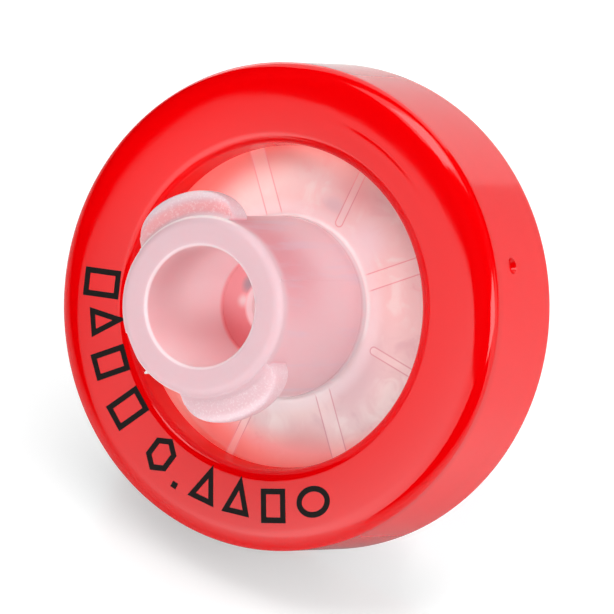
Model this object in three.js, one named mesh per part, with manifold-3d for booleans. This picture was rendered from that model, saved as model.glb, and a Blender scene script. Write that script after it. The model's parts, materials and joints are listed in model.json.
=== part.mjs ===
// Syringe filter of the 13 mm class, with a female luer lock inlet and a male luer slip outlet.
// Two polypropylene housing halves clamp a membrane disc, and a coloured ring moulded over their rims
// holds and seals them. The filter lies as it comes to rest on a bench: on the rear edge of its ring
// and on the end of its outlet tip, with the inlet pointing up at a slant along -Y.
// Millimetres, +Z up. Each piece is turned about its own Z axis first, with the ring's front face at
// z = 0 and the inlet towards +z, and the whole filter is then laid down.
import * as THREE from 'three';
import { mergeVertices } from 'three/addons/utils/BufferGeometryUtils.js';
import Module from 'manifold-3d';

// ---- Driving sizes ----------------------------------------------------------------------------

// Luer sizes. The 6 % luer taper on diameter takes 0.03 mm off the radius for each millimetre.
const LUER_TAPER = 0.03;
const BORE_RADIUS = 2.08;           // inlet bore, at the mouth
const TIP_RADIUS = 1.98;            // outlet cone, at its free end
const TIP_LENGTH = 7.8;             // outlet cone, from its free end to the hub

// Stack along the axis, from the ring's front face to its rear face.
const RECESS_DEPTH = 1.05;          // ring's front face to the inlet plate, also the front lip's height
const INLET_PLATE = 1.8;
const OUTLET_PLATE = 1.3;
const REAR_LIP = 0.55;

// Rims, from the outside inwards.
const FLANGE_RADIUS = 7.2;          // outer radius of both housing plates
const RING_WALL = 1.3;              // ring material outside the plates
const FRONT_GRIP = 1.43;            // how far the front lip reaches in over the inlet plate
const REAR_GRIP = 0.85;             // how far the rear lip reaches in over the outlet plate
const SEAL_WIDTH = 0.6;             // band where the two plates meet, outside the membrane pocket

// Ring edges and the gate mark left by the injection point.
const SHOULDER_RADIAL = 0.72;
const SHOULDER_AXIAL = 0.5;
const LIP_EDGE = 0.26;
const REAR_EDGE = 0.3;
const REAR_LIP_EDGE = 0.15;
const GATE_RADIUS = 0.32;
const GATE_DEPTH = 0.16;
const GATE_SETBACK = 1.78;          // from the ring's front face
const GATE_ANGLE = 32.5;            // degrees about the axis

// Inlet barrel.
const BARREL_HEIGHT = 6.53;         // above the inlet plate
const BARREL_WALL = 1.04;           // at the mouth
const BARREL_DRAFT = 0.03;          // growth of the radius from the mouth to the plate
const BARREL_FILLET = 0.18;
const MOUTH_EDGE = 0.3;             // rounding outside the mouth
const BORE_EDGE = 0.12;             // rounding inside the mouth
const BORE_FLOOR = 2.92;            // material left between the bore's end and the membrane
const INLET_HOLE_RADIUS = 0.9;
const INLET_HOLE_CHAMFER = 0.3;

// Luer lock lugs, at right angles to the axis.
const LUG_HEIGHT = 0.91;            // beyond the barrel
const LUG_THICKNESS = 0.9;          // along the axis, at the crest
const LUG_FLANK = 0.3;              // extra thickness of the back flank at the barrel
const LUG_EDGE = 0.26;
const LUG_SPAN = 78;                // degrees
const LUG_SETBACK = 0.45;           // from the mouth
const LUG_ROUNDING = 4;             // power of the lug's outline: higher is squarer

// Flow channels in the inlet plate's underside.
const LOCK_ANGLE = 40.5;            // degrees: mould parting line, and the first wide channel
const CHANNELS = 4;                 // wide ones, with as many narrow ones between them
const WIDE_CHANNEL = 0.58;
const NARROW_CHANNEL = 0.28;
const NARROW_START = 3.15;          // radius where a narrow channel begins
const CHANNEL_DEPTH = 0.3;
const CHANNEL_RIM = 0.3;            // plain band between the channels' ends and the seal

// Membrane and its support in the outlet plate.
const MEMBRANE_THICKNESS = 0.2;
const MEMBRANE_CLEARANCE = 0.15;    // round the membrane's edge
const DRAIN_RINGS = 2;
const DRAIN_PITCH = 1.9;
const DRAIN_WIDTH = 0.5;
const DRAIN_DEPTH = 0.3;
const DRAIN_SPOKE_DEPTH = 0.24;

// Outlet.
const HUB_RADIUS = 3;
const HUB_HEIGHT = 1;
const HUB_FILLET = 0.25;
const TIP_EDGE = 0.15;
const OUTLET_HOLE_RADIUS = 0.8;

const SEGMENTS = 48;                // flats round a turned surface, a multiple of 4

// ---- Sizes that follow ------------------------------------------------------------------------

const FLOOR_Z = -RECESS_DEPTH;
const SEAM_Z = FLOOR_Z - INLET_PLATE;
const BACK_Z = SEAM_Z - OUTLET_PLATE;
const REAR_Z = BACK_Z - REAR_LIP;
const MOUTH_Z = FLOOR_Z + BARREL_HEIGHT;
const BORE_END_Z = SEAM_Z + BORE_FLOOR;
const HUB_Z = BACK_Z - HUB_HEIGHT;
const TIP_Z = HUB_Z - TIP_LENGTH;

const RING_RADIUS = FLANGE_RADIUS + RING_WALL;
const LIP_RADIUS = FLANGE_RADIUS - FRONT_GRIP;
const REAR_LIP_RADIUS = FLANGE_RADIUS - REAR_GRIP;
const POCKET_RADIUS = FLANGE_RADIUS - SEAL_WIDTH;
const CHANNEL_END = POCKET_RADIUS - CHANNEL_RIM;
const BARREL_RADIUS = BORE_RADIUS + BARREL_WALL;
const BARREL_BASE_RADIUS = BARREL_RADIUS + BARREL_DRAFT;
const BORE_END_RADIUS = BORE_RADIUS - LUER_TAPER * (MOUTH_Z - BORE_END_Z);
const TIP_BASE_RADIUS = TIP_RADIUS + LUER_TAPER * TIP_LENGTH;
const POCKET_Z = SEAM_Z - MEMBRANE_THICKNESS;

// ---- Shape helpers ----------------------------------------------------------------------------

const radians = THREE.MathUtils.degToRad;

// Points along an ellipse arc about (r, z), from one angle to another in degrees.
function arc(r, z, radial, axial, from, to, steps) {
  const points = [];
  for (let i = 0; i <= steps; i += 1) {
    const angle = radians(from + ((to - from) * i) / steps);
    points.push([r + radial * Math.cos(angle), z + axial * Math.sin(angle)]);
  }
  return points;
}

// A solid of revolution about Z. The profile is a closed loop of [radius, z], counter-clockwise, and
// the flats round it lie on the true radius, with one flat facing each of the four axis directions.
function turned(profile) {
  const widen = 1 / Math.cos(Math.PI / SEGMENTS);
  const loop = [...profile, profile[0]].map(([r, z]) => new THREE.Vector2(r * widen, z));
  return new THREE.LatheGeometry(loop, SEGMENTS, Math.PI / SEGMENTS).rotateX(Math.PI / 2);
}

// A straight slot with round ends, lying along the direction of an angle, from one radius to another.
function slot(from, to, width, angle, bottom, top) {
  const half = width / 2;
  const outline = new THREE.Shape();
  outline.absarc(to - half, 0, half, -Math.PI / 2, Math.PI / 2);
  outline.absarc(from + half, 0, half, Math.PI / 2, Math.PI * 1.5);
  const settings = { depth: top - bottom, bevelEnabled: false, curveSegments: 4 };
  return new THREE.ExtrudeGeometry(outline, settings).translate(0, 0, bottom).rotateZ(radians(angle));
}

// Joins a row of equal closed sections into one solid, with the first and last section as its ends.
function lofted(sections) {
  const size = sections[0].length;
  const last = (sections.length - 1) * size;
  const indices = [];
  for (let row = 0; row < sections.length - 1; row += 1) {
    for (let i = 0; i < size; i += 1) {
      const a = row * size + i;
      const b = row * size + ((i + 1) % size);
      indices.push(a, a + size, b, b, a + size, b + size);
    }
  }
  for (let i = 1; i < size - 1; i += 1) {
    indices.push(0, i, i + 1);
    indices.push(last, last + i + 1, last + i);
  }
  const geometry = new THREE.BufferGeometry();
  geometry.setAttribute('position', new THREE.Float32BufferAttribute(sections.flat(2), 3));
  geometry.setIndex(indices);
  return geometry;
}

const wasm = await Module();
wasm.setup();

function solidOf(geometry) {
  const bare = geometry.clone();
  bare.deleteAttribute('normal');
  bare.deleteAttribute('uv');
  const merged = mergeVertices(bare);
  return new wasm.Manifold(new wasm.Mesh({
    numProp: 3,
    vertProperties: merged.getAttribute('position').array,
    triVerts: new Uint32Array(merged.getIndex().array),
  }));
}

function geometryOf(solid) {
  const mesh = solid.getMesh();
  const geometry = new THREE.BufferGeometry();
  geometry.setAttribute('position', new THREE.BufferAttribute(mesh.vertProperties, 3));
  geometry.setIndex(new THREE.BufferAttribute(mesh.triVerts, 1));
  geometry.computeVertexNormals();
  return geometry;
}

function piece(name, geometry, finish) {
  const mesh = new THREE.Mesh(geometry, new THREE.MeshStandardMaterial(finish));
  mesh.name = name;
  return mesh;
}

// ---- Overmoulded ring -------------------------------------------------------------------------

function overmouldRing() {
  const profile = [
    [FLANGE_RADIUS, FLOOR_Z],
    [FLANGE_RADIUS, BACK_Z],
    [REAR_LIP_RADIUS, BACK_Z],
    ...arc(
      REAR_LIP_RADIUS + REAR_LIP_EDGE, REAR_Z + REAR_LIP_EDGE, REAR_LIP_EDGE, REAR_LIP_EDGE, 180, 270, 2,
    ),
    ...arc(RING_RADIUS - REAR_EDGE, REAR_Z + REAR_EDGE, REAR_EDGE, REAR_EDGE, -90, 0, 4),
    ...arc(RING_RADIUS - SHOULDER_RADIAL, -SHOULDER_AXIAL, SHOULDER_RADIAL, SHOULDER_AXIAL, 0, 90, 6),
    ...arc(LIP_RADIUS + LIP_EDGE, -LIP_EDGE, LIP_EDGE, LIP_EDGE, 90, 180, 3),
    [LIP_RADIUS, FLOOR_Z],
  ];
  const gate = new THREE.CylinderGeometry(GATE_RADIUS, GATE_RADIUS / 2, GATE_DEPTH * 2, 12)
    .rotateZ(-Math.PI / 2)
    .translate(RING_RADIUS, 0, -GATE_SETBACK)
    .rotateZ(radians(GATE_ANGLE));
  return geometryOf(solidOf(turned(profile)).subtract(solidOf(gate)));
}

// ---- Inlet housing ----------------------------------------------------------------------------

// One luer lock lug. Its height runs out towards both ends, and its root is sunk in the barrel's
// wall, where the two are one moulding.
function lug(centre) {
  const steps = 20;
  const root = BARREL_RADIUS - BARREL_WALL / 2;
  const sunk = BARREL_RADIUS - LUG_EDGE / 2;
  const front = MOUTH_Z - LUG_SETBACK;
  const back = front - LUG_THICKNESS;
  const sections = [];
  for (let i = 0; i <= steps; i += 1) {
    const along = (2 * i) / steps - 1;
    const angle = radians(centre + (along * LUG_SPAN) / 2);
    const height = BARREL_RADIUS + LUG_HEIGHT - sunk;
    const crest = sunk + height * Math.sqrt(1 - Math.abs(along) ** LUG_ROUNDING);
    const section = [
      [root, front],
      [root, back - LUG_FLANK],
      ...arc(crest - LUG_EDGE, back + LUG_EDGE, LUG_EDGE, LUG_EDGE, -90, 0, 3),
      ...arc(crest - LUG_EDGE, front - LUG_EDGE, LUG_EDGE, LUG_EDGE, 0, 90, 3),
    ];
    sections.push(section.map(([r, z]) => [r * Math.cos(angle), r * Math.sin(angle), z]));
  }
  return lofted(sections);
}

function inletHousing() {
  const profile = [
    [INLET_HOLE_RADIUS, SEAM_Z],
    [FLANGE_RADIUS, SEAM_Z],
    [FLANGE_RADIUS, FLOOR_Z],
    ...arc(
      BARREL_BASE_RADIUS + BARREL_FILLET, FLOOR_Z + BARREL_FILLET, BARREL_FILLET, BARREL_FILLET, 270, 180, 3,
    ),
    ...arc(BARREL_RADIUS - MOUTH_EDGE, MOUTH_Z - MOUTH_EDGE, MOUTH_EDGE, MOUTH_EDGE, 0, 90, 3),
    ...arc(BORE_RADIUS + BORE_EDGE, MOUTH_Z - BORE_EDGE, BORE_EDGE, BORE_EDGE, 90, 180, 2),
    [BORE_END_RADIUS, BORE_END_Z],
    [INLET_HOLE_RADIUS + INLET_HOLE_CHAMFER, BORE_END_Z],
    [INLET_HOLE_RADIUS, BORE_END_Z - INLET_HOLE_CHAMFER],
  ];
  let solid = solidOf(turned(profile));
  for (const side of [90, 270]) {
    solid = solid.add(solidOf(lug(LOCK_ANGLE + side)));
  }
  const top = SEAM_Z + CHANNEL_DEPTH;
  const bottom = SEAM_Z - CHANNEL_DEPTH;
  const step = 360 / CHANNELS;
  for (let i = 0; i < CHANNELS; i += 1) {
    const angle = LOCK_ANGLE + i * step;
    solid = solid.subtract(solidOf(slot(0, CHANNEL_END, WIDE_CHANNEL, angle, bottom, top)));
    const between = angle + step / 2;
    solid = solid.subtract(solidOf(slot(NARROW_START, CHANNEL_END, NARROW_CHANNEL, between, bottom, top)));
  }
  return geometryOf(solid);
}

// ---- Membrane ---------------------------------------------------------------------------------

function membrane() {
  const radius = POCKET_RADIUS - MEMBRANE_CLEARANCE;
  const profile = [[0, SEAM_Z], [0, POCKET_Z], [radius, POCKET_Z], [radius, SEAM_Z]];
  return geometryOf(solidOf(turned(profile)));
}

// ---- Outlet housing ---------------------------------------------------------------------------

function outletHousing() {
  const drains = [];
  for (let i = DRAIN_RINGS; i > 0; i -= 1) {
    const middle = OUTLET_HOLE_RADIUS + i * DRAIN_PITCH;
    const outer = middle + DRAIN_WIDTH / 2;
    const inner = middle - DRAIN_WIDTH / 2;
    drains.push([outer, POCKET_Z], [outer, POCKET_Z - DRAIN_DEPTH]);
    drains.push([inner, POCKET_Z - DRAIN_DEPTH], [inner, POCKET_Z]);
  }
  const profile = [
    [OUTLET_HOLE_RADIUS, TIP_Z],
    ...arc(TIP_RADIUS - TIP_EDGE, TIP_Z + TIP_EDGE, TIP_EDGE, TIP_EDGE, -90, 0, 3),
    [TIP_BASE_RADIUS, HUB_Z],
    ...arc(HUB_RADIUS - HUB_FILLET, HUB_Z + HUB_FILLET, HUB_FILLET, HUB_FILLET, -90, 0, 3),
    [HUB_RADIUS, BACK_Z],
    [FLANGE_RADIUS, BACK_Z],
    [FLANGE_RADIUS, SEAM_Z],
    [POCKET_RADIUS, SEAM_Z],
    [POCKET_RADIUS, POCKET_Z],
    ...drains,
    [OUTLET_HOLE_RADIUS, POCKET_Z],
  ];
  let solid = solidOf(turned(profile));
  const step = 360 / CHANNELS;
  for (let i = 0; i < CHANNELS; i += 1) {
    const angle = LOCK_ANGLE + i * step;
    const spoke = slot(0, CHANNEL_END, WIDE_CHANNEL, angle, POCKET_Z - DRAIN_SPOKE_DEPTH, SEAM_Z);
    solid = solid.subtract(solidOf(spoke));
  }
  return geometryOf(solid);
}

// ---- The filter, laid down --------------------------------------------------------------------

// Angle of the axis above the bench: the line that touches both the ring's rear edge and the end of
// the outlet tip lies along the bench.
function restingTilt() {
  const along = (REAR_Z + REAR_EDGE) - (TIP_Z + TIP_EDGE);
  const out = (RING_RADIUS - REAR_EDGE) - (TIP_RADIUS - TIP_EDGE);
  return Math.atan2(out, along) + Math.asin((REAR_EDGE - TIP_EDGE) / Math.hypot(along, out));
}

const naturalPlastic = { color: 0xecd9d7, roughness: 0.35, metalness: 0 };
const ringPlastic = { color: 0xe8302b, roughness: 0.25, metalness: 0 };
const membraneSheet = { color: 0xf6f3ee, roughness: 0.9, metalness: 0 };

const filter = new THREE.Group();
filter.add(piece('overmould_ring', overmouldRing(), ringPlastic));
filter.add(piece('inlet_housing', inletHousing(), naturalPlastic));
filter.add(piece('membrane', membrane(), membraneSheet));
filter.add(piece('outlet_housing', outletHousing(), naturalPlastic));
filter.rotation.x = Math.PI / 2 - restingTilt();

// The origin is on the bench, under the middle of the filter.
const box = new THREE.Box3().setFromObject(filter, true);
const middle = box.getCenter(new THREE.Vector3());
filter.position.set(-middle.x, -middle.y, -box.min.z);

const scene = new THREE.Group();
scene.add(filter);
export default scene;
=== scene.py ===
"""Looks of a syringe filter: a red polypropylene ring moulded over a translucent housing with a
luer lock inlet. Each piece is modelled about its own axis in millimetres, with the ring's front
face at z = 0 and the inlet towards +z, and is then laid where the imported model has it.
"""

import json
from math import cos, pi, radians, sin

import bmesh
import bpy
from bpy.props import FloatProperty, FloatVectorProperty, PointerProperty
from mathutils import Matrix, Vector


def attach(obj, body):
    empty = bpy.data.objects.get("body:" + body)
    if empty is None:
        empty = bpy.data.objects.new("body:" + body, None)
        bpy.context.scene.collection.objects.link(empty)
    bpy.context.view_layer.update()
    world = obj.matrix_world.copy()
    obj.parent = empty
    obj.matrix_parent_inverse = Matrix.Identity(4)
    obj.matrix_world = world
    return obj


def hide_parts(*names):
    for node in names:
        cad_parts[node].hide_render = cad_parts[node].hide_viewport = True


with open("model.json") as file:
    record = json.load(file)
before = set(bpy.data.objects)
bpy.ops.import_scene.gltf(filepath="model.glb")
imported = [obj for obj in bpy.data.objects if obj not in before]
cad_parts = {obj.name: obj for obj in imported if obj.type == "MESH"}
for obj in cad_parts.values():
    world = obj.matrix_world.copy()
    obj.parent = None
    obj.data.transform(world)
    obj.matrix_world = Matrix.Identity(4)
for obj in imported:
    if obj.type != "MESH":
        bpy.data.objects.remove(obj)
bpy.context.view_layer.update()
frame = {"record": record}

bl_info = {
    "name": "Syringe filter",
    "version": (1, 0, 0),
    "blender": (4, 5, 0),
    "location": "View3D > Sidebar > Filter",
    "description": "Builds a syringe filter, its print and its studio around the packed model",
    "category": "Add Mesh",
}

# ---- Where the filter lies ----------------------------------------------------------------------

MM = 0.001
MOUTH = next(m for m in frame["record"]["mounts"] if m["name"] == "inlet_mouth")
MOUTH_POINT_RADIUS = 2.6            # mm from the axis to the mount's point on the mouth
MOUTH_HEIGHT = 5.48                 # mm from the ring's front face to the mouth

AXIS = Vector(MOUTH["axis"]).normalized()
ACROSS = Vector((1, 0, 0))
SLANT = AXIS.cross(ACROSS)
CENTRE = Vector(MOUTH["pos_m"]) - (MOUTH_POINT_RADIUS * SLANT + MOUTH_HEIGHT * AXIS) * MM
TURN = Matrix((ACROSS, SLANT, AXIS)).transposed()
LAID = Matrix.LocRotScale(CENTRE, TURN, Vector((MM, MM, MM)))

# Directions seen from the camera, which looks down on the filter from the right of its axis.
VIEW_AZIMUTH = radians(35.467)
VIEW_ELEVATION = radians(43.799)
TO_CAMERA = Vector((
    cos(VIEW_ELEVATION) * sin(VIEW_AZIMUTH),
    -cos(VIEW_ELEVATION) * cos(VIEW_AZIMUTH),
    sin(VIEW_ELEVATION),
))
RIGHT = Vector((cos(VIEW_AZIMUTH), sin(VIEW_AZIMUTH), 0))
UP = TO_CAMERA.cross(RIGHT)

# ---- Sizes that pieces share --------------------------------------------------------------------

# Heights over the ring's front face and radii, in mm.
PLATE, SEAM, POCKET, BACK, REAR = -1.05, -2.85, -3.05, -4.15, -4.7
RING_RADIUS = 8.5
FLANGE = 7.2                        # the rim of both housing halves
WALL = 3.12                         # the barrel at its mouth
LIP_ROUNDING = 0.42                 # how far the lip's rounding reaches into the ring's face
FACE_SLOPE = 0.026                  # how steeply the ring's face falls off outwards

# Angles about the axis, in degrees. The lugs stand square to the housing's parting line.
LOCK_ANGLE = 40.5
GATE_ANGLE = 33.2

# Flow channels under the plate, four of each kind: where they start and their width, in mm, and
# their turn from the lock's angle, in degrees. All end at the same radius, in mm.
CHANNELS = ((0, 0.58, 0), (3.15, 0.28, 45))
CHANNEL_END = 6.3

# The print, all plain shapes: each mark's angle about the axis, distance from it, sides, height,
# width and stroke.
PRINT_MARKS = (
    (196.7, 6.79, 4, 1.42, 1.0, 0.2), (208.0, 6.74, 3, 1.42, 1.05, 0.19),
    (220.6, 6.7, 4, 1.38, 0.95, 0.2), (235.5, 6.74, 4, 1.42, 1.0, 0.2),
    (253.2, 6.78, 6, 1.4, 1.0, 0.2), (261.6, 7.34, 4, 0.22, 0.22, 0),
    (270.7, 6.9, 3, 1.36, 1.1, 0.19), (281.9, 6.92, 3, 1.36, 1.1, 0.19),
    (293.6, 6.92, 4, 1.2, 0.95, 0.2), (306.6, 6.94, 48, 1.1, 1.3, 0.2),
)

# What lies under the plate shows in it this far from its place, and the ring's red light painted
# round its rim lies this far off centre, in mm.
SEEN_SHIFT = (0.44, 0.2, 0)
RED_LIGHT_SHIFT = (1.1, 0.55, 0)
# Clouds of colour in the plate, some of them painted light, such as the cream highlight on its
# lower right: their colour, place and size in mm, and turn in degrees.
PLATE_CLOUDS_AND_LIGHT = (
    ("#FFDCD8", (-2.9, 4.1), (3.4, 2.2), 42),
    ("#E8B0B2", (0.8, 4.8), (1.6, 0.9), -12),
    ("#DEC0C4", (3.5, -1.0), (1.3, 2.6), 0),
    ("#F4D8D4", (1.6, -2.9), (1.5, 0.9), 10),
    ("#E8AAAA", (2.7, -4.1), (2.6, 1.1), 20),
    ("#EDDDE2", (1.9, 3.2), (1.2, 1.2), 0),
    ("#DCC8CE", (0.3, 3.95), (0.9, 0.5), 0),
)

# ---- Helpers ------------------------------------------------------------------------------------

MEETING = 0.0005                    # mm: points this close together are merged
SHARP = 32                          # degrees: a steeper edge stays sharp


def linear(code):
    """Linear colour of an sRGB hex code."""
    parts = [int(code[i:i + 2], 16) / 255 for i in (1, 3, 5)]
    return tuple(c / 12.92 if c <= 0.04045 else ((c + 0.055) / 1.055) ** 2.4 for c in parts)


def opaque(code):
    """The same with full alpha, as a colour socket takes it."""
    return (*linear(code), 1)


def mm(length):
    """A length setting, which is in metres, in millimetres."""
    return length / MM


def arc(r, z, radial, axial, start, end, steps):
    """Points along an ellipse arc about (r, z), from one angle to another in degrees."""
    angles = [radians(start + (end - start) * i / steps) for i in range(steps + 1)]
    return [(r + radial * cos(a), z + axial * sin(a)) for a in angles]


def deselect():
    if bpy.context.mode != "OBJECT":
        bpy.ops.object.mode_set(mode="OBJECT")
    bpy.ops.object.select_all(action="DESELECT")


def pick(obj):
    deselect()
    obj.select_set(True)
    bpy.context.view_layer.objects.active = obj
    return obj


def edit(obj):
    pick(obj)
    bpy.ops.object.mode_set(mode="EDIT")
    bpy.ops.mesh.select_all(action="SELECT")


def choose_edges(obj, test):
    """Goes to edit mode with the edges selected whose two ends pass the test."""
    edit(obj)
    bpy.ops.mesh.select_all(action="DESELECT")
    bpy.context.tool_settings.mesh_select_mode = (False, True, False)
    mesh = bmesh.from_edit_mesh(obj.data)
    for edge in mesh.edges:
        if test(*(vertex.co for vertex in edge.verts)):
            edge.select = True
    mesh.select_flush_mode()
    bmesh.update_edit_mesh(obj.data)


def object_mode(obj):
    bpy.context.tool_settings.mesh_select_mode = (True, False, False)
    bpy.ops.object.mode_set(mode="OBJECT")
    return obj


def moved(obj, location=(0, 0, 0), angle=0, tilt=0):
    """Turns a piece about the axis by an angle in degrees and shifts it, in its mesh. A tilt, in
    radians, lowers its outer side."""
    pick(obj)
    obj.location = location
    obj.rotation_euler = (0, tilt, radians(angle))
    bpy.ops.object.transform_apply(location=True, rotation=True, scale=True)
    return obj


def copied(obj):
    """A copy with its own mesh."""
    pick(obj)
    bpy.ops.object.duplicate()
    return bpy.context.object


def block(size, centre):
    """A box with its size and centre in millimetres."""
    deselect()
    bpy.ops.mesh.primitive_cube_add(size=1)
    obj = bpy.context.object
    obj.scale = size
    return moved(obj, centre)


def merged():
    """Merges the points that meet, and leaves all selected."""
    bpy.ops.mesh.select_all(action="SELECT")
    bpy.ops.mesh.remove_doubles(threshold=MEETING)
    bpy.ops.mesh.select_all(action="SELECT")


def extruded(height):
    """Extrudes what is selected along z, and turns all the faces outwards."""
    bpy.ops.mesh.extrude_region_move(TRANSFORM_OT_translate={"value": (0, 0, height)})
    bpy.ops.mesh.select_all(action="SELECT")
    bpy.ops.mesh.normals_make_consistent(inside=False)


def drawn(name, points):
    """A closed line drawn point by point, left in edit mode and selected all over."""
    deselect()
    bpy.ops.mesh.primitive_plane_add(size=1)
    obj = bpy.context.object
    obj.name = obj.data.name = name
    edit(obj)
    bpy.ops.mesh.merge(type="CENTER")
    bpy.ops.transform.translate(value=points[0])
    for start, end in zip(points, points[1:] + points[:1]):
        step = Vector(end) - Vector(start)
        bpy.ops.mesh.extrude_vertices_move(TRANSFORM_OT_translate={"value": step})
    merged()
    return obj


def prism(name, points, height):
    """A closed solid of this height over a drawn line, left in edit mode."""
    obj = drawn(name, points)
    bpy.ops.mesh.edge_face_add()
    extruded(height)
    return obj


def turned(name, outline, steps):
    """A closed outline of (radius, z), spun about the axis."""
    obj = drawn(name, [(r, 0, z) for r, z in outline])
    bpy.ops.mesh.spin(steps=steps, angle=2 * pi, center=(0, 0, 0), axis=(0, 0, 1))
    merged()
    bpy.ops.mesh.normals_make_consistent(inside=False)
    bpy.ops.object.mode_set(mode="OBJECT")
    return obj


def combine(obj, other, operation):
    """Cuts or joins another piece into this one, and removes the other."""
    pick(obj)
    change = obj.modifiers.new(operation, "BOOLEAN")
    change.operation = operation
    change.solver = "EXACT"
    change.object = other
    bpy.ops.object.modifier_apply(modifier=change.name)
    bpy.data.objects.remove(other)
    return obj


def joined(objects):
    deselect()
    for obj in objects:
        obj.select_set(True)
    bpy.context.view_layer.objects.active = objects[0]
    bpy.ops.object.join()
    return bpy.context.object


def finished(obj, material, node=None):
    """Smooths a piece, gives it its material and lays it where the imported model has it."""
    pick(obj)
    bpy.ops.object.shade_smooth_by_angle(angle=radians(SHARP))
    obj.data.materials.clear()
    obj.data.materials.append(material)
    obj.matrix_world = LAID
    bpy.ops.object.transform_apply(location=True, rotation=True, scale=True)
    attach(obj, "root")
    if node:
        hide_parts(node)
    deselect()
    return obj


def add_node(tree, kind, inputs=None, **settings):
    """A shader node with its settings, and with a value or a link for each socket that is named."""
    made = tree.nodes.new(kind)
    for key, value in settings.items():
        setattr(made, key, value)
    for key, value in (inputs or {}).items():
        if isinstance(value, bpy.types.NodeSocket):
            tree.links.new(value, made.inputs[key])
        else:
            made.inputs[key].default_value = value
    return made


def new_material(name):
    material = bpy.data.materials.new(name)
    material.use_nodes = True
    material.node_tree.nodes.clear()
    return material, material.node_tree


def filter_space(tree):
    """Millimetres along the filter's own axes, for a pattern that follows the piece."""
    place = add_node(tree, "ShaderNodeTexCoord").outputs["Object"]
    return add_node(tree, "ShaderNodeMapping", {
        "Vector": place, "Location": CENTRE, "Rotation": TURN.to_euler(), "Scale": (MM, MM, MM),
    }, vector_type="TEXTURE").outputs[0]


def from_axis(tree, place, shift=(0, 0, 0)):
    """Distance in millimetres from the axis, or from a line beside it."""
    put = add_node(tree, "ShaderNodeVectorMath", {0: place, 1: shift}, operation="SUBTRACT")
    flat = add_node(
        tree, "ShaderNodeVectorMath", {0: put.outputs[0], 1: (1, 1, 0)}, operation="MULTIPLY")
    away = add_node(tree, "ShaderNodeVectorMath", {0: flat.outputs[0]}, operation="LENGTH")
    return away.outputs["Value"]


def zone(tree, *limits):
    """1 where each value lies past its limits, with a soft change: (value, where 0, where 1)."""
    inside = None
    for value, outer, inner in limits:
        step = add_node(tree, "ShaderNodeMapRange", {
            "Value": value, "From Min": outer, "From Max": inner,
        }, interpolation_type="SMOOTHSTEP").outputs[0]
        inside = step if inside is None else add_node(
            tree, "ShaderNodeMath", {0: inside, 1: step}, operation="MULTIPLY").outputs[0]
    return inside


def layered(tree, under, code, *masks, strength=1):
    """A colour with another over it, as strong as all the masks together let it through."""
    through = strength
    for mask in masks:
        through = add_node(
            tree, "ShaderNodeMath", {0: through, 1: mask}, operation="MULTIPLY").outputs[0]
    return add_node(tree, "ShaderNodeMix", {
        "A": under, "B": opaque(code), "Factor": through,
    }, data_type="RGBA").outputs["Result"]


def cloud_at(tree, place, centre, size, tilt=0):
    """A soft-edged cloud about a line along the axis, in millimetres: 1 in its middle and 0 beyond
    its size."""
    all_along = 100
    put = add_node(tree, "ShaderNodeMapping", {
        "Vector": place, "Location": (*centre, 0), "Rotation": (0, 0, radians(tilt)),
        "Scale": (*size, all_along),
    }, vector_type="TEXTURE").outputs[0]
    ball = add_node(tree, "ShaderNodeTexGradient", {0: put}, gradient_type="SPHERICAL")
    return zone(tree, (ball.outputs["Fac"], 0, 0.9))


def channel_edges(tree, place, angle, half_width, start, line):
    """Four radial channels as they show through the plate: thin lines along their edges, and their
    inside."""
    put = add_node(tree, "ShaderNodeMapping", {
        "Vector": place, "Location": SEEN_SHIFT, "Rotation": (0, 0, radians(angle)),
    }, vector_type="TEXTURE").outputs[0]
    size = add_node(tree, "ShaderNodeVectorMath", {0: put}, operation="ABSOLUTE").outputs[0]
    x, y, _ = add_node(tree, "ShaderNodeSeparateXYZ", {0: size}).outputs
    across = add_node(tree, "ShaderNodeMath", {0: x, 1: y}, operation="MINIMUM").outputs[0]
    along = add_node(tree, "ShaderNodeMath", {0: x, 1: y}, operation="MAXIMUM").outputs[0]
    # Short of its start a channel ends in a half circle.
    left = add_node(tree, "ShaderNodeMath", {
        0: start + half_width, 1: along}, operation="SUBTRACT").outputs[0]
    short = add_node(tree, "ShaderNodeMath", {0: left, 1: 0.0}, operation="MAXIMUM").outputs[0]
    gap = add_node(tree, "ShaderNodeCombineXYZ", {0: across, 1: short}).outputs[0]
    beyond = add_node(tree, "ShaderNodeVectorMath", {0: gap}, operation="LENGTH")
    away = add_node(tree, "ShaderNodeMath", {
        0: beyond.outputs["Value"], 1: half_width}, operation="SUBTRACT").outputs[0]
    edge = add_node(tree, "ShaderNodeMath", {0: away}, operation="ABSOLUTE").outputs[0]
    return zone(tree, (edge, line, line * 0.3)), zone(tree, (away, 0, -line))


# ---- Settings -----------------------------------------------------------------------------------


class RingSettings(bpy.types.PropertyGroup):
    radius: FloatProperty(
        name="Radius", description="Outer radius of the ring", unit="LENGTH",
        default=RING_RADIUS * MM)
    lip_radius: FloatProperty(
        name="Lip radius", description="Radius of the opening in the front", unit="LENGTH",
        default=0.00569)
    colour: FloatVectorProperty(
        name="Colour", description="Colour of the ring's plastic", subtype="COLOR",
        default=linear("#E20004"))


class InletSettings(bpy.types.PropertyGroup):
    bore_radius: FloatProperty(
        name="Bore radius", description="Radius of the luer bore at the mouth", unit="LENGTH",
        default=0.00208)
    lug_height: FloatProperty(
        name="Lug height", description="Height of the lock lugs above the barrel", unit="LENGTH",
        default=0.00091)
    colour: FloatVectorProperty(
        name="Colour", description="Colour of the housing's natural plastic", subtype="COLOR",
        default=linear("#E4C1C8"))


class StageSettings(bpy.types.PropertyGroup):
    floor_colour: FloatVectorProperty(
        name="Floor colour", description="Colour of the studio floor", subtype="COLOR",
        default=linear("#F7F7F7"))
    key: FloatProperty(
        name="Lights", description="Brightness of all the soft lights", subtype="FACTOR",
        default=1.0)
    fill: FloatProperty(
        name="Fill", description="Even light from all round, which shows in no reflection",
        subtype="FACTOR", default=0.0)


# ---- Materials ----------------------------------------------------------------------------------


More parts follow.
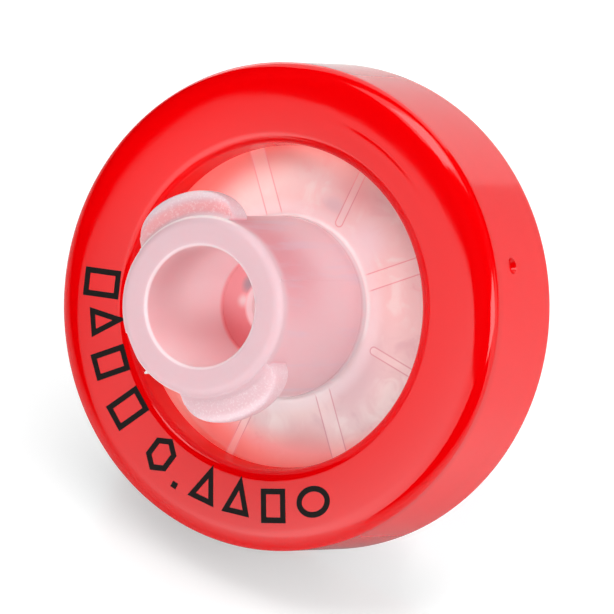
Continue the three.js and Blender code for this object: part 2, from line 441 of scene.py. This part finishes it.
def ring_plastic(colour):
    """Red polypropylene, injection moulded in a polished tool: an even, deep colour under a clean
    gloss that is broken only by faint flow lines round the ring."""
    material, tree = new_material("moulded_red_polypropylene")
    place = filter_space(tree)
    across, rise, height = add_node(tree, "ShaderNodeSeparateXYZ", {0: place}).outputs
    angle = add_node(
        tree, "ShaderNodeMath", {0: rise, 1: across}, operation="ARCTAN2").outputs[0]
    radius = from_axis(tree, place)
    polar = add_node(tree, "ShaderNodeCombineXYZ", {0: radius, 1: angle, 2: height}).outputs[0]
    # Flow lines, about 0.6 mm wide.
    flow = add_node(tree, "ShaderNodeTexNoise", {
        "Vector": polar, "Scale": 1.6, "Detail": 4, "Roughness": 0.5}).outputs["Fac"]
    gloss = add_node(tree, "ShaderNodeMapRange", {
        "Value": flow, "To Min": 0.05, "To Max": 0.09}).outputs[0]
    # A shallow flow mark runs a little way round the face, above the lip.
    mark = zone(tree, (radius, 6.58, 6.74), (radius, 6.92, 6.76),
                (angle, 0.8, 1.25), (angle, 1.75, 1.4))
    relief = add_node(tree, "ShaderNodeMath", {
        0: mark, 1: 1.3, 2: flow}, operation="MULTIPLY_ADD").outputs[0]
    bump = add_node(tree, "ShaderNodeBump", {
        "Height": relief, "Strength": 0.12, "Distance": 0.02 * MM}).outputs[0]
    # Light that bounces off the ring onto what lies further away is grey, so the floor stays
    # neutral.
    light = add_node(tree, "ShaderNodeLightPath").outputs
    far = zone(tree, (light["Ray Length"], 0.1 * MM, 0.5 * MM))
    # Painted light: the plastic is a little brighter towards its upper left and on its side.
    lean = add_node(
        tree, "ShaderNodeVectorMath", {0: place, 1: (-0.6, 0.8, 0)}, operation="DOT_PRODUCT")
    painted_light_upper_left = zone(tree, (lean.outputs["Value"], -9, 9))
    tone = layered(tree, (*colour, 1), "#F80004", painted_light_upper_left)
    tone = layered(tree, tone, "#F20004", zone(tree, (height, -0.5, -1.0)))
    tone = layered(tree, tone, "#3C3C3C", far, light["Is Diffuse Ray"])
    shader = add_node(tree, "ShaderNodeBsdfPrincipled", {
        "Base Color": tone, "Roughness": gloss, "Normal": bump, "IOR": 1.49}).outputs[0]
    add_node(tree, "ShaderNodeOutputMaterial", {"Surface": shader})
    return material


def marking_ink():
    """Pad-printed black ink: matt, with a slightly broken surface where the pad lifted off."""
    material, tree = new_material("pad_printed_ink")
    # The breaks are about 0.1 mm wide.
    grain = add_node(tree, "ShaderNodeTexNoise", {
        "Vector": filter_space(tree), "Scale": 9, "Detail": 3}).outputs["Fac"]
    tone = layered(tree, opaque("#0A0807"), "#1A1514", grain)
    shader = add_node(tree, "ShaderNodeBsdfPrincipled", {
        "Base Color": tone, "Roughness": 0.6, "Specular IOR Level": 0.2}).outputs[0]
    add_node(tree, "ShaderNodeOutputMaterial", {"Surface": shader})
    return material


def natural_plastic(colour):
    """Natural polypropylene, injection moulded: milky and translucent, and frosted on the lugs. The
    ring's red light is painted into it where the rim sits in it and in the depth of the bore, with
    other painted highlights and shade."""
    material, tree = new_material("moulded_natural_polypropylene")
    place = filter_space(tree)
    across, rise, height = add_node(tree, "ShaderNodeSeparateXYZ", {0: place}).outputs
    radius = from_axis(tree, place)
    tone = (*colour, 1)
    # The barrel is pinker than the mouth and the lugs, and darker and pinker still on its upper
    # side, which is painted shade.
    barrel = zone(tree, (height, -0.9, -0.6), (height, 5.15, 4.7), (radius, 3.2, 3.15))
    tone = layered(tree, tone, "#ECBDC4", barrel)
    painted_shade_upper_side = zone(tree, (height, 1.0, 4.4), (rise, 0, 2.6))
    tone = layered(tree, tone, "#E0939D", barrel, painted_shade_upper_side, strength=0.8)
    # Faint streaks, about 0.6 by 5 mm, run along it where the mould's cores were drawn out.
    drawn_out = add_node(tree, "ShaderNodeMapping", {
        "Vector": place, "Scale": (1, 1, 0.12)}).outputs[0]
    streaks = add_node(tree, "ShaderNodeTexNoise", {
        "Vector": drawn_out, "Scale": 1.6, "Detail": 3, "Roughness": 0.55}).outputs["Fac"]
    tone = layered(tree, tone, "#DFC2D0", barrel, zone(tree, (streaks, 0.48, 0.66)), strength=0.5)
    # Painted light: the upper lug's front is pinker behind its pale rim, where red light shows
    # through it, the rim's paleness is a painted sheen, and the mouth's edges carry thin, pale
    # painted highlights.
    front = zone(tree, (height, 4.85, 4.98), (height, 5.25, 5.1), (radius, 3.15, 3.35))
    red_light_behind_rim = zone(tree, (radius, 3.8, 3.5), (rise, 0, 1.5))
    tone = layered(tree, tone, "#F29DA0", front, red_light_behind_rim, strength=0.7)
    tone = layered(tree, tone, "#F6DCE2", front, zone(tree, (radius, 3.65, 3.9)), strength=0.7)
    inner_edge_highlight = zone(tree, (height, 5.34, 5.42), (radius, 2.2, 2.14))
    tone = layered(tree, tone, "#FFF2F2", inner_edge_highlight, strength=0.4)
    outer_edge_highlight = zone(tree, (height, 5.12, 5.25), (radius, 3.02, 3.09), (across, 0.5, -0.5))
    tone = layered(tree, tone, "#FFF2F0", outer_edge_highlight, strength=0.7)
    # The plate: milky near the barrel, with mauve, cream and pink clouds, some of them painted
    # light, and the ring's red light painted at its rim.
    plate = zone(tree, (height, -0.85, -1.03), (height, -2.9, -2.8))
    tone = layered(tree, tone, "#EED0D0", plate)
    # Wisps, about 1 mm across, where the melt ran out from the barrel.
    wisps = add_node(tree, "ShaderNodeTexNoise", {
        "Vector": place, "Scale": 0.9, "Detail": 3, "Roughness": 0.6, "Distortion": 0.6,
    }).outputs["Fac"]
    tone = layered(tree, tone, "#FFF2EE", plate, zone(tree, (wisps, 0.5, 0.7)), strength=0.5)
    tone = layered(tree, tone, "#D3A6B0", plate, zone(tree, (wisps, 0.46, 0.3)), strength=0.4)
    # Clouds of tone, some of them painted light.
    for code, centre, size, tilt in PLATE_CLOUDS_AND_LIGHT:
        tone = layered(tree, tone, code, plate, cloud_at(tree, place, centre, size, tilt))
    # The barrel's foot shows as a painted white highlight on its upper right, and painted light
    # pales the plate round the foot.
    base = zone(tree, (height, -0.6, -0.8), (height, -1.2, -1.1))
    foot = zone(tree, (radius, 3.15, 3.18), (radius, 3.3, 3.2), (rise, -0.3, 0.6))
    tone = layered(tree, tone, "#FFFFFF", base, foot, strength=0.9)
    tone = layered(tree, tone, "#F6E6EA", base, zone(tree, (radius, 3.9, 3.4)), strength=0.6)
    # The ring's red light is painted into the plate near its rim, off centre, and paler on its
    # lower left.
    painted_red_light = zone(tree, (from_axis(tree, place, RED_LIGHT_SHIFT), 4.4, 6.0))
    tone = layered(tree, tone, "#FF625C", plate, painted_red_light)
    red_light_lower_left = cloud_at(tree, place, (-2.9, -5.1), (2.4, 1.3), -25)
    tone = layered(tree, tone, "#FFA098", plate, red_light_lower_left)
    clear = zone(tree, (radius, 3.2, 3.4))
    for start, width, turn in CHANNELS:
        lines, inside = channel_edges(tree, place, LOCK_ANGLE + turn, width / 2, start, 0.035)
        tone = layered(tree, tone, "#FFE9E6", plate, inside, clear, strength=0.25)
        tone = layered(tree, tone, "#D0808C", plate, lines, clear, strength=0.6)
    # The bore is pink, with painted shade on its left and its lower side, and its end is painted
    # nearly red with the ring's light.
    bore = zone(tree, (radius, 2.3, 2.2), (height, 5.42, 5.3), (height, -0.7, -0.4))
    tone = layered(tree, tone, "#F6DADC", bore)
    bore_left_shade = zone(tree, (across, -0.3, -1.7), (height, 2.2, 4.8))
    tone = layered(tree, tone, "#DCA4AA", bore, bore_left_shade, strength=0.7)
    tone = layered(tree, tone, "#E4B4B8", bore, zone(tree, (rise, -0.6, -1.6)), strength=0.5)
    end = zone(tree, (radius, 2.0, 1.9), (radius, 1.0, 1.1),
               (height, 0.4, 0.1), (height, -0.7, -0.4))
    tone = layered(tree, tone, "#F2848A", end)
    # At its end, a painted shadow at the flow hole's edge and a painted light patch below it.
    tone = layered(tree, tone, "#A87F8C", end, cloud_at(tree, place, (-1.16, 0.36), (0.34, 0.5)))
    tone = layered(tree, tone, "#FFD8D8", end, cloud_at(tree, place, (-1.12, -0.26), (0.3, 0.34)))
    # The lugs are frosted, with a grain under 0.1 mm.
    frost = add_node(tree, "ShaderNodeTexNoise", {
        "Vector": place, "Scale": 14, "Detail": 3, "Roughness": 0.6}).outputs["Fac"]
    lugs = zone(tree, (radius, 3.15, 3.3), (height, 3.6, 3.8))
    tone = layered(tree, tone, "#FFFAFA", lugs, zone(tree, (frost, 0.5, 0.68)), strength=0.3)
    grain = add_node(tree, "ShaderNodeMath", {0: lugs, 1: 0.25}, operation="MULTIPLY").outputs[0]
    bump = add_node(tree, "ShaderNodeBump", {
        "Height": frost, "Strength": grain, "Distance": 0.03 * MM}).outputs[0]
    # The barrel is satin and the plate is polished.
    polish = zone(tree, (height, -0.4, -0.75))
    gloss = add_node(tree, "ShaderNodeMapRange", {
        "Value": polish, "To Min": 0.36, "To Max": 0.13}).outputs[0]
    # Light that comes through the ring and the walls makes the plate and the bore's depth glow.
    glow = layered(tree, opaque("#000000"), "#803C3A", plate, zone(tree, (rise, -3.5, 3)))
    glow = layered(tree, glow, "#8C3E38", plate, painted_red_light, zone(tree, (rise, -8, -4)))
    above = cloud_at(tree, place, (-0.7, 5.4), (3.0, 0.8), -5)
    glow = layered(tree, glow, "#C06C66", plate, above)
    glow = layered(tree, glow, "#686669", bore, zone(tree, (height, 4.6, 1.5), (rise, -1.6, 0)))
    # Three quarters of the light goes through to what it shades.
    shade = add_node(tree, "ShaderNodeLightPath").outputs["Is Shadow Ray"]
    solid = add_node(tree, "ShaderNodeMapRange", {
        "Value": shade, "To Min": 1, "To Max": 0.25}).outputs[0]
    soft = add_node(tree, "ShaderNodeMapRange", {
        "Value": plate, "To Min": 0.6, "To Max": 0.25}).outputs[0]
    shader = add_node(tree, "ShaderNodeBsdfPrincipled", {
        "Base Color": tone, "Roughness": gloss, "Normal": bump, "Alpha": solid, "IOR": 1.49,
        "Emission Color": glow, "Emission Strength": 1.0, "Subsurface Weight": soft,
        "Subsurface Radius": (1.0, 0.55, 0.55), "Subsurface Scale": 0.8 * MM,
    }).outputs[0]
    add_node(tree, "ShaderNodeOutputMaterial", {"Surface": shader})
    return material


def membrane_sheet():
    """Stretched PTFE sheet: bright white and matt, with a fine fibrous grain."""
    material, tree = new_material("stretched_ptfe_sheet")
    # The grain is about 0.1 mm, as coarse as it needs to be to show.
    grain = add_node(tree, "ShaderNodeTexNoise", {
        "Vector": filter_space(tree), "Scale": 9, "Detail": 4}).outputs["Fac"]
    tone = layered(tree, opaque("#EFEBE6"), "#FBF9F6", grain)
    shader = add_node(tree, "ShaderNodeBsdfPrincipled", {
        "Base Color": tone, "Roughness": 0.9}).outputs[0]
    add_node(tree, "ShaderNodeOutputMaterial", {"Surface": shader})
    return material


def floor_acrylic(colour, under):
    """White acrylic sheet: an even pale tone under a polished face, which mirrors more of the
    lights the flatter it is seen. Its own glow adds little to what the filter mirrors. The ring
    stands on it at the point given as under."""
    material, tree = new_material("white_acrylic_floor")
    mirrored = add_node(tree, "ShaderNodeLightPath").outputs["Is Glossy Ray"]
    # It glows less in a narrow patch under the ring's edge, so the shade stays close to the ring.
    place = add_node(tree, "ShaderNodeTexCoord").outputs["Object"]
    patch = add_node(tree, "ShaderNodeMapping", {
        "Vector": place, "Location": (under.x + 1.5 * MM, under.y, 0),
        "Scale": (7 * MM, 3 * MM, 1),
    }, vector_type="TEXTURE").outputs[0]
    reach = add_node(tree, "ShaderNodeVectorMath", {0: patch}, operation="LENGTH")
    beyond = zone(tree, (reach.outputs["Value"], 0.6, 1.2))
    power = add_node(tree, "ShaderNodeMapRange", {
        "Value": beyond, "To Min": 0.475, "To Max": 0.6}).outputs[0]
    glow = add_node(tree, "ShaderNodeMapRange", {
        "Value": mirrored, "To Min": power, "To Max": 0.2}).outputs[0]
    # It's in deep shade right under the ring, which shows in the ring's side.
    away = add_node(
        tree, "ShaderNodeVectorMath", {0: place, 1: (under.x, under.y, 0)}, operation="DISTANCE")
    shade = zone(tree, (away.outputs["Value"], 14 * MM, 3 * MM))
    tone = layered(tree, opaque("#D6D6D6"), "#B4B4B4", mirrored, shade)
    light = layered(tree, (*colour, 1), "#606060", mirrored, shade)
    base = add_node(tree, "ShaderNodeBsdfPrincipled", {
        "Base Color": tone, "Roughness": 0.9, "Specular IOR Level": 0.0,
        "Emission Color": light, "Emission Strength": glow}).outputs[0]
    gloss = add_node(tree, "ShaderNodeBsdfAnisotropic", {"Roughness": 0.12}).outputs[0]
    turn = add_node(tree, "ShaderNodeFresnel", {"IOR": 1.49}).outputs[0]
    both = add_node(tree, "ShaderNodeMixShader", {0: turn, 1: base, 2: gloss}).outputs[0]
    add_node(tree, "ShaderNodeOutputMaterial", {"Surface": both})
    return material


def softbox_cloth(key):
    """The cloth of the front light, brightest a little left of its middle, which fades towards its
    top and its ends."""
    material, tree = new_material("softbox_cloth")
    place = add_node(tree, "ShaderNodeTexCoord").outputs["Object"]
    across, _, height = add_node(tree, "ShaderNodeSeparateXYZ", {0: place}).outputs
    power = key
    for value, near, far, low, high in (
            (height, 0.1, 0.35, 1, 0.58), (across, -0.46, -0.17, 0.9, 3.2),
            (across, -0.1, 0.1, 1, 0.65)):
        part = add_node(tree, "ShaderNodeMapRange", {
            "Value": value, "From Min": near, "From Max": far, "To Min": low, "To Max": high,
        }).outputs[0]
        power = add_node(
            tree, "ShaderNodeMath", {0: power, 1: part}, operation="MULTIPLY").outputs[0]
    shader = add_node(tree, "ShaderNodeEmission", {"Strength": power}).outputs[0]
    add_node(tree, "ShaderNodeOutputMaterial", {"Surface": shader})
    return material


# ---- Pieces -------------------------------------------------------------------------------------


def channel(start, width, bottom, top):
    """A cutter for a radial flow channel with round ends, which keep a sliver of flat between
    them."""
    sliver = 0.01
    cutter = block((CHANNEL_END - start, width, top - bottom),
                   ((start + CHANNEL_END) / 2, 0, (bottom + top) / 2))
    choose_edges(cutter, lambda a, b: abs(a.z - b.z) > 0.1 and min(a.x, b.x) > 0.1)
    bpy.ops.mesh.bevel(offset=(width - sliver) / 2, segments=8, affect="EDGES")
    return object_mode(cutter)


class FILTER_OT_ring(bpy.types.Operator):
    """Models the overmoulded ring with its gate mark"""
    bl_idname = "filter.ring"
    bl_label = "Ring"

    def execute(self, context):
        s = context.scene.filter_ring
        radius, lip = mm(s.radius), mm(s.lip_radius)
        # The face falls off very slightly outwards, a little faster from the crown on, and rolls
        # over at the shoulder.
        crown, shoulder, roll, steps = 6.95, 7.7, 0.03, 6
        face = []
        for i in range(steps + 1):
            r = shoulder - (shoulder - crown) * i / steps
            fall = FACE_SLOPE * (r - lip - LIP_ROUNDING) + roll * (r - crown) ** 2
            face.append((r, -fall))
        wide, high, start = 0.933, 0.46, 81.8
        top = face[0][1] - high * sin(radians(start))
        # A row of points beside each rounding keeps the flats even.
        rear_lip, lip_edge, rear_edge, beside = 6.35, 0.15, 0.3, 0.1
        round_down, draft = 0.28, 0.09
        outline = [
            (FLANGE, PLATE), (FLANGE, BACK), (rear_lip, BACK),
            *arc(rear_lip + lip_edge, REAR + lip_edge, lip_edge, lip_edge, 180, 270, 5),
            (rear_lip + lip_edge + beside, REAR), (radius - rear_edge - beside, REAR),
            *arc(radius - rear_edge, REAR + rear_edge, rear_edge, rear_edge, -90, 0, 8),
            (radius, REAR + rear_edge + beside), (radius, top - beside),
            *arc(radius - wide, top, wide, high, 0, start, 24), *face[1:],
            *arc(lip + LIP_ROUNDING, -round_down, LIP_ROUNDING, round_down, 90, 180, 12),
            (lip - draft, PLATE),
        ]
        ring = turned("ring", outline, 192)
        # The gate's mark is a shallow cone, set back from the face.
        depth, setback = 0.16, 1.78
        deselect()
        bpy.ops.mesh.primitive_cone_add(
            vertices=40, radius1=0.2, radius2=0.38, depth=2 * depth, rotation=(0, radians(90), 0))
        gate = context.object
        bpy.ops.object.transform_apply(rotation=True)
        combine(ring, moved(moved(gate, (radius, 0, -setback)), angle=GATE_ANGLE), "DIFFERENCE")
        finished(ring, ring_plastic(s.colour), "overmould_ring")
        return {"FINISHED"}


class FILTER_OT_inlet(bpy.types.Operator):
    """Models the inlet half of the housing with its luer barrel, lugs and flow channels"""
    bl_idname = "filter.inlet"
    bl_label = "Inlet housing"

    def execute(self, context):
        s = context.scene.filter_inlet
        bore, mouth = mm(s.bore_radius), MOUTH_HEIGHT
        hole, bevel, bore_end = 0.9, 0.18, 0.07
        foot, foot_fillet, mouth_edge, bore_edge = 3.15, 0.18, 0.3, 0.12
        outline = [
            (hole, SEAM), (FLANGE, SEAM), (FLANGE, PLATE), (foot + 0.3, PLATE),
            *arc(foot + foot_fillet, PLATE + foot_fillet, foot_fillet, foot_fillet, 270, 180, 6),
            (3.149, PLATE + 0.3), (3.125, 3.6), (WALL, 5.09),
            *arc(WALL - mouth_edge, mouth - mouth_edge, mouth_edge, mouth_edge, 0, 90, 8),
            (WALL - 0.4, mouth), (bore + 0.2, mouth),
            *arc(bore + bore_edge, mouth - bore_edge, bore_edge, bore_edge, 90, 180, 5),
            (bore - 0.002, mouth - 0.2),
            (1.918, bore_end), (hole + bevel, bore_end), (hole, bore_end - bevel),
        ]
        inlet = turned("inlet_housing_half", outline, 144)
        # Two lugs, and a fine ridge along the barrel where the mould parts.
        lug = self.lug(WALL + mm(s.lug_height), mouth - 0.45)
        ridge = block((0.16, 0.05, 6.1), (WALL - 0.05, 0, 2.1))
        for piece in (lug, ridge):
            for side in (0, 180):
                combine(inlet, moved(copied(piece), angle=LOCK_ANGLE + side), "UNION")
            bpy.data.objects.remove(piece)
        # The mouth's edge is a little flat beside the parting line, up to a small spur.
        combine(inlet, moved(block((0.5, 2.3, 0.8), (3.237, 0.86, 5.45)), angle=226), "DIFFERENCE")
        combine(inlet, moved(block((0.24, 0.05, 0.4), (3.07, 0, 5.15)), angle=249.8), "UNION")
        depth = 0.3
        for start, width, turn in CHANNELS:
            for side in range(4):
                slot = channel(start, width, SEAM - depth, SEAM + depth)
                combine(inlet, moved(slot, angle=LOCK_ANGLE + turn + 90 * side), "DIFFERENCE")
        finished(inlet, natural_plastic(s.colour), "inlet_housing")
        return {"FINISHED"}

    @staticmethod
    def lug(crest, front):
        """One luer lock lug towards +Y: a tab with rounded corners and rims and a sloping rear
        flank, whose root is sunk in the barrel's wall."""
        half_span, sunk, root = radians(35.5), 2.99, 2.6
        thickness, flank, rim = 0.9, 0.33, 0.26
        tab_steps, root_steps = 40, 12
        # The tab's crest is nearly even and falls off steeply at both ends.
        outline = []
        for i in range(tab_steps + 1):
            along = sin(pi * (i / tab_steps - 0.5))
            reach = sunk + (crest - sunk) * (1 - abs(along) ** 3) ** 0.55
            outline.append((reach * sin(along * half_span), reach * cos(along * half_span), front))
        for i in range(root_steps + 1):
            angle = half_span * (1 - 2 * i / root_steps)
            outline.append((root * sin(angle), root * cos(angle), front))
        lug = prism("lug", outline, -2)
        bpy.ops.mesh.bisect(plane_co=(0, crest, front - thickness), plane_no=(0, flank, -1),
                            use_fill=True, clear_outer=True)
        choose_edges(lug, lambda a, b: min(a.xy.length, b.xy.length) > sunk + 0.02
                     and ((a - b).xy.length > 0.3 * abs(a.z - b.z)))
        bpy.ops.mesh.bevel(offset=rim, segments=6, affect="EDGES")
        object_mode(lug)
        # A fillet runs from the lug's front up to the mouth's rounded edge, as wide as the lug.
        corner = 0.27
        inner, outer, low = sunk - 0.1, WALL + corner, front - 0.02
        fillet = turned("fillet", [
            (inner, front - 0.3), (outer + 0.1, front - 0.3), (outer + 0.1, low),
            *arc(outer, low + corner, corner, corner, 270, 180, 8), (inner, low + corner)], 144)
        blank = prism("blank", [(0.97 * x, 0.985 * y, front - 0.6) for x, y, _ in outline], 2)
        object_mode(blank)
        return combine(lug, combine(fillet, blank, "INTERSECT"), "UNION")


class FILTER_OT_print(bpy.types.Operator):
    """Prints plain marks along the ring's face"""
    bl_idname = "filter.print"
    bl_label = "Print"

    def execute(self, context):
        face_start = mm(context.scene.filter_ring.lip_radius) + LIP_ROUNDING
        marks = [self.mark(face_start, *mark) for mark in PRINT_MARKS]
        finished(joined(marks), marking_ink())
        return {"FINISHED"}

    @staticmethod
    def mark(face_start, angle, radius, sides, height, width, stroke):
        """A plain outline with this many sides, or a filled one where the stroke is 0."""
        lift, sunk = 0.01, 0.02
        turn = radians(45 if sides == 4 else 90)
        deselect()
        bpy.ops.mesh.primitive_circle_add(
            vertices=sides, radius=1, fill_type="NGON", rotation=(0, 0, turn))
        obj = bpy.context.object
        obj.name = obj.data.name = "print_marks"
        bpy.ops.object.transform_apply(rotation=True)
        obj.dimensions = (height, width, 0)
        bpy.ops.object.transform_apply(scale=True)
        edit(obj)
        if stroke:
            bpy.context.tool_settings.mesh_select_mode = (False, False, True)
            bpy.ops.mesh.select_all(action="SELECT")
            bpy.ops.mesh.inset(thickness=stroke)
            bpy.ops.mesh.delete(type="FACE")
        bpy.ops.mesh.select_all(action="SELECT")
        extruded(lift + sunk)
        object_mode(obj)
        # The mark lies in the face, which falls off outwards from where it starts.
        fall = FACE_SLOPE * (radius - face_start)
        moved(obj, (radius, 0, -fall - sunk), tilt=FACE_SLOPE)
        return moved(obj, angle=angle)


class FILTER_OT_membrane(bpy.types.Operator):
    """Models the membrane disc"""
    bl_idname = "filter.membrane"
    bl_label = "Membrane"

    def execute(self, context):
        radius, edge = 6.45, 0.03
        outline = [(0, POCKET), (radius - edge, POCKET), (radius, POCKET + edge),
                   (radius, SEAM - edge), (radius - edge, SEAM), (0, SEAM)]
        sheet = turned("membrane_disc", outline, 96)
        finished(sheet, membrane_sheet(), "membrane")
        return {"FINISHED"}


class FILTER_OT_outlet(bpy.types.Operator):
    """Models the outlet half of the housing with its luer cone"""
    bl_idname = "filter.outlet"
    bl_label = "Outlet housing"

    def execute(self, context):
        tip, hub, hole, tip_edge, hub_edge = -12.95, -5.15, 0.8, 0.15, 0.25
        outline = [
            (hole, tip), (1.73, tip), *arc(1.83, tip + tip_edge, tip_edge, tip_edge, -90, 0, 6),
            (2.214, hub), *arc(2.75, hub + hub_edge, hub_edge, hub_edge, -90, 0, 6),
            (3.0, BACK), (FLANGE, BACK), (FLANGE, SEAM), (6.6, SEAM), (6.6, POCKET),
        ]
        # Under the membrane, two drain grooves run round and four spokes lead to the hole.
        groove_width, groove_depth, spoke_width, spoke_depth = 0.5, 0.3, 0.58, 0.24
        for outer in (4.85, 2.95):
            inner, low = outer - groove_width, POCKET - groove_depth
            outline += [(outer, POCKET), (outer, low), (inner, low), (inner, POCKET)]
        outlet = turned("outlet_housing_half", [*outline, (hole, POCKET)], 144)
        for side in range(4):
            slot = channel(0, spoke_width, POCKET - spoke_depth, SEAM)
            combine(outlet, moved(slot, angle=LOCK_ANGLE + 90 * side), "DIFFERENCE")
        colour = context.scene.filter_inlet.colour
        finished(outlet, natural_plastic(colour), "outlet_housing")
        return {"FINISHED"}


# ---- Studio -------------------------------------------------------------------------------------


def bearing(azimuth, elevation, distance):
    """A place seen from the middle of the floor, with azimuth 0 towards -Y and 90 towards +X."""
    a, e = radians(azimuth), radians(elevation)
    return Vector((cos(e) * sin(a), -cos(e) * cos(a), sin(e))) * distance


def soft_light(name, location, width, height, radiance):
    """A rectangular soft light that faces the filter, as bright as the radiance says."""
    data = bpy.data.lights.new(name, "AREA")
    data.shape = "RECTANGLE"
    data.size, data.size_y = width, height
    data.energy = radiance * pi * width * height
    light = bpy.data.objects.new(name, data)
    bpy.context.scene.collection.objects.link(light)
    light.location = location
    light.rotation_euler = (location - CENTRE).to_track_quat("Z", "Y").to_euler()
    light.visible_camera = False
    return light


class FILTER_OT_camera(bpy.types.Operator):
    """Sets up the camera"""
    bl_idname = "filter.camera"
    bl_label = "Camera"

    def execute(self, context):
        distance, sensor_width, lens = 0.42305, 36, 714.70906
        data = bpy.data.cameras.new("studio_camera")
        data.sensor_width, data.lens = sensor_width, lens
        data.clip_start, data.clip_end = 0.01, 10
        camera = bpy.data.objects.new("studio_camera", data)
        context.scene.collection.objects.link(camera)
        # It aims a little to the right of the ring's centre.
        target = CENTRE + (1.176 * RIGHT - 0.017 * UP) * MM
        camera.matrix_world = Matrix.LocRotScale(
            target + TO_CAMERA * distance, Matrix((RIGHT, UP, TO_CAMERA)).transposed(), None)
        context.scene.camera = camera
        return {"FINISHED"}


class FILTER_OT_stage(bpy.types.Operator):
    """Adds the floor and the lights"""
    bl_idname = "filter.stage"
    bl_label = "Stage"

    def execute(self, context):
        s = context.scene.filter_stage
        scene = context.scene
        scene.view_settings.view_transform = "Standard"
        deselect()
        bpy.ops.mesh.primitive_plane_add(size=3, location=(0, 0, 0))
        floor = context.object
        floor.name = "floor"
        under = CENTRE - (RING_RADIUS * SLANT - REAR * AXIS) * MM
        floor.data.materials.append(floor_acrylic(s.floor_colour, under))
        world = bpy.data.worlds.new("studio")
        world.use_nodes = True
        background = world.node_tree.nodes["Background"]
        background.inputs["Color"].default_value = opaque("#FFFFFF")
        background.inputs["Strength"].default_value = s.fill
        scene.world = world
        world.cycles_visibility.glossy = False
        # Lights that light everything: their shapes are the highlights' shapes.
        for name, place, width, height, radiance in (
                ("overhead_softbox", Vector((-0.03, -0.06, 0.6)), 0.19, 0.34, 2.9),
                ("overhead_halo", Vector((-0.04, -0.04, 0.62)), 0.27, 0.52, 1.6),
                ("right_softbox", bearing(72, 35.5, 0.6), 0.29, 0.2, 4.4)):
            soft_light(name, place, width, height, radiance * s.key)
        # Lights that only show in the gloss.
        for name, place, width, height, radiance in (
                ("right_wall", bearing(97, 14, 0.8), 0.6, 0.45, 1.15),
                ("back_wall", bearing(-147, 27, 0.8), 1.15, 0.95, 1.45),
                ("left_rear_softbox", bearing(-129, 8, 0.7), 0.33, 0.32, 2.3)):
            soft_light(name, place, width, height, radiance * s.key).visible_diffuse = False
        # Lights that only fill the shade.
        for name, place, width, height, radiance in (
                ("right_fill", bearing(100, 45, 0.7), 0.5, 0.4, 2.1),
                ("low_fill", bearing(95, 22, 0.7), 0.4, 0.3, 2.0),
                ("rear_fill", bearing(150, 45, 0.7), 0.4, 0.4, 1.8),
                ("left_fill", bearing(-65, 48, 0.7), 0.4, 0.3, 0.8),
                ("front_fill", bearing(5, 42, 0.7), 0.4, 0.3, 0.6),
                ("overhead_fill", Vector((-0.06, 0, 0.7)), 0.4, 0.5, 0.85)):
            soft_light(name, place, width, height, radiance * s.key).visible_glossy = False
        # The front light is a sheet of cloth, which isn't equally bright all over.
        card = drawn("front_softbox", [
            (-0.49, -0.6, 0), (0.08, -0.6, 0), (0.23, -0.6, 0.36), (-0.42, -0.6, 0.395)])
        bpy.ops.mesh.edge_face_add()
        bpy.ops.object.mode_set(mode="OBJECT")
        card.data.materials.append(softbox_cloth(s.key))
        card.visible_camera = False
        return {"FINISHED"}


class FILTER_PT_panel(bpy.types.Panel):
    """Lists the filter's pieces and their settings"""
    bl_label = "Syringe filter"
    bl_space_type = "VIEW_3D"
    bl_region_type = "UI"
    bl_category = "Filter"

    def draw(self, context):
        for setting in SETTINGS:
            group = getattr(context.scene, setting)
            box = self.layout.box()
            for name in group.bl_rna.properties.keys():
                if name not in ("rna_type", "name"):
                    box.prop(group, name)
        for step in STEPS:
            self.layout.operator(step.bl_idname)


SETTINGS = {
    "filter_ring": RingSettings,
    "filter_inlet": InletSettings,
    "filter_stage": StageSettings,
}
STEPS = (FILTER_OT_camera, FILTER_OT_ring, FILTER_OT_print, FILTER_OT_inlet, FILTER_OT_membrane,
         FILTER_OT_outlet, FILTER_OT_stage)


def register():
    for group in (*SETTINGS.values(), *STEPS, FILTER_PT_panel):
        bpy.utils.register_class(group)
    for name, group in SETTINGS.items():
        setattr(bpy.types.Scene, name, PointerProperty(type=group))


def unregister():
    for name in SETTINGS:
        delattr(bpy.types.Scene, name)
    for group in (FILTER_PT_panel, *reversed(STEPS), *SETTINGS.values()):
        bpy.utils.unregister_class(group)


def main():
    register()
    bpy.ops.filter.camera()
    bpy.ops.filter.ring()
    bpy.ops.filter.print()
    bpy.ops.filter.inlet()
    bpy.ops.filter.membrane()
    bpy.ops.filter.outlet()
    bpy.ops.filter.stage()


if __name__ == "__main__":
    main()
